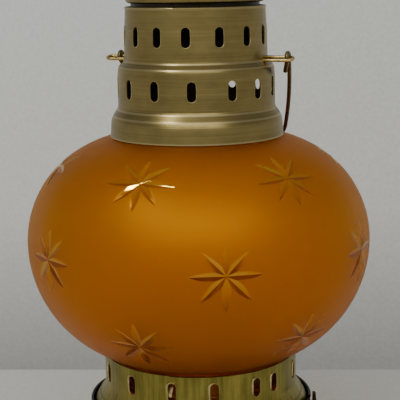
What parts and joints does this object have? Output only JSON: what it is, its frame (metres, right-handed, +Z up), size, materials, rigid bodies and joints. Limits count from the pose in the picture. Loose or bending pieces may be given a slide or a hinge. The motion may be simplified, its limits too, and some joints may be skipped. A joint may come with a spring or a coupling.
{
  "type": "star lantern",
  "caption": "Small standing oil lantern with an amber glass globe cut with stars, a slotted brass hood and gallery, and a wire bail.",
  "frame": {"origin": "centre of the base's underside, on the lantern's upright axis", "axes": "+Z up along the lantern's axis; +X towards the right-hand ear of the bail; the bail hangs towards +Y"},
  "size_m": [0.1914, 0.1914, 0.3061],
  "materials": {
    "brass_spun": "aged, brushed round the axis",
    "brass_dark": "blackened",
    "brass_wire": "drawn wire, worn bright",
    "bronze_wire": "drawn wire, browned",
    "brass_plain": "satin",
    "amber_glass": "satin blown glass with polished cuts",
    "wick_cotton": "woven cotton",
    "spring_brass": "hard rolled strip"
  },
  "bodies": {
    "base": {"pot": "brass_dark", "foot_bead": "brass_spun", "font": "brass_plain", "font_collar": "brass_plain", "burner_body": "brass_plain", "burner_disc": "brass_plain", "wick_tube": "brass_plain", "shaft_bush": "brass_plain"},
    "wick_drive": {"wick_shaft": "brass_plain", "wick_wheels": "brass_plain", "wick_knob": "brass_dark", "knob_nut": "brass_plain"},
    "wick": {"wick": "wick_cotton"},
    "cone": {"burner_cone": "brass_plain"},
    "gallery": {"gallery": "brass_spun", "globe_seat": "brass_plain", "globe_springs": "spring_brass"},
    "globe": {"globe": "amber_glass"},
    "hood": {"hood": "brass_spun", "cap_collar": "brass_dark", "cap": "brass_spun", "finial": "brass_plain", "finial_nut": "brass_plain", "ear_right": "brass_wire", "ear_left": "brass_wire", "ear_washers": "brass_plain"},
    "bail": {"bail": "bronze_wire"}
  },
  "joints": [
    {"name": "knob_turn", "type": "hinge", "parent": "base", "child": "wick_drive", "pos_m": [0.00121, -0.00485, 0.037], "axis": [0.9703, 0.2419, 0], "range_deg": [-80, 140]},
    {"name": "wick_raise", "type": "slide", "parent": "base", "child": "wick", "axis": [0, 0, 1], "range_m": [-0.006, 0.01]},
    {"name": "cone_lift", "type": "slide", "parent": "base", "child": "cone", "axis": [0, 0, 1], "range_m": [0, 0.03]},
    {"name": "gallery_lift", "type": "slide", "parent": "base", "child": "gallery", "axis": [0, 0, 1], "range_m": [0, 0.06]},
    {"name": "globe_lift", "type": "slide", "parent": "gallery", "child": "globe", "axis": [0, 0, 1], "range_m": [0, 0.06]},
    {"name": "hood_lift", "type": "slide", "parent": "globe", "child": "hood", "axis": [0, 0, 1], "range_m": [0, 0.06]},
    {"name": "bail_swing", "type": "hinge", "parent": "hood", "child": "bail", "pos_m": [0, 0.0028, 0.23727], "axis": [1, 0, 0], "range_deg": [0, 158]}
  ],
  "couplings": [
    {"joint": "wick_raise", "follows": "knob_turn", "m_per_rad": 0.0037}
  ]
}
